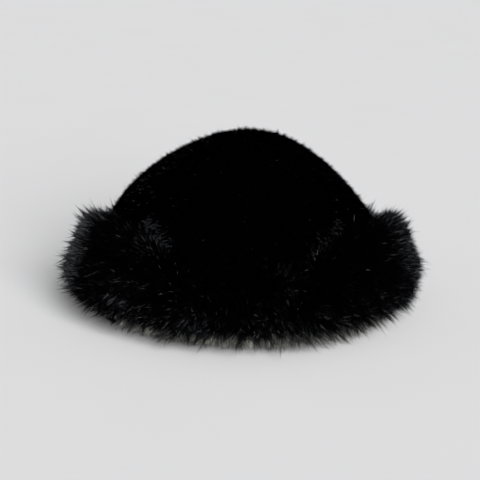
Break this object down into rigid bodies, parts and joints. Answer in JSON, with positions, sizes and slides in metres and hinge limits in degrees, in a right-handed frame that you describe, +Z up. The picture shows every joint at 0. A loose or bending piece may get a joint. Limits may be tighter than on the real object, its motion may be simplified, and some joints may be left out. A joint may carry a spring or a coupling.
{
  "type": "ushanka fur hat",
  "caption": "Soft domed fur hat lying on its fold, head opening down, with its brow, ear and nape flaps of long dense fur turned up round a short-pile crown.",
  "frame": {"origin": "middle of the hat's footprint, on the surface it lies on", "axes": "+Z up through the crown; the brow flap faces -Y and the nape flap +Y; ear_flap_left is at -X and ear_flap_right at +X, as one faces the hat's front"},
  "size_m": [0.2815, 0.2981, 0.132],
  "materials": {
    "short_pile_fur": "dense velvety short-pile fur, black, matte",
    "long_pile_fur": "long dense fur in locks, black with a soft silky sheen"
  },
  "bodies": {
    "root": {"crown": "short_pile_fur", "front_flap": "long_pile_fur", "ear_flap_left": "long_pile_fur", "ear_flap_right": "long_pile_fur", "nape_flap": "long_pile_fur"}
  },
  "joints": []
}
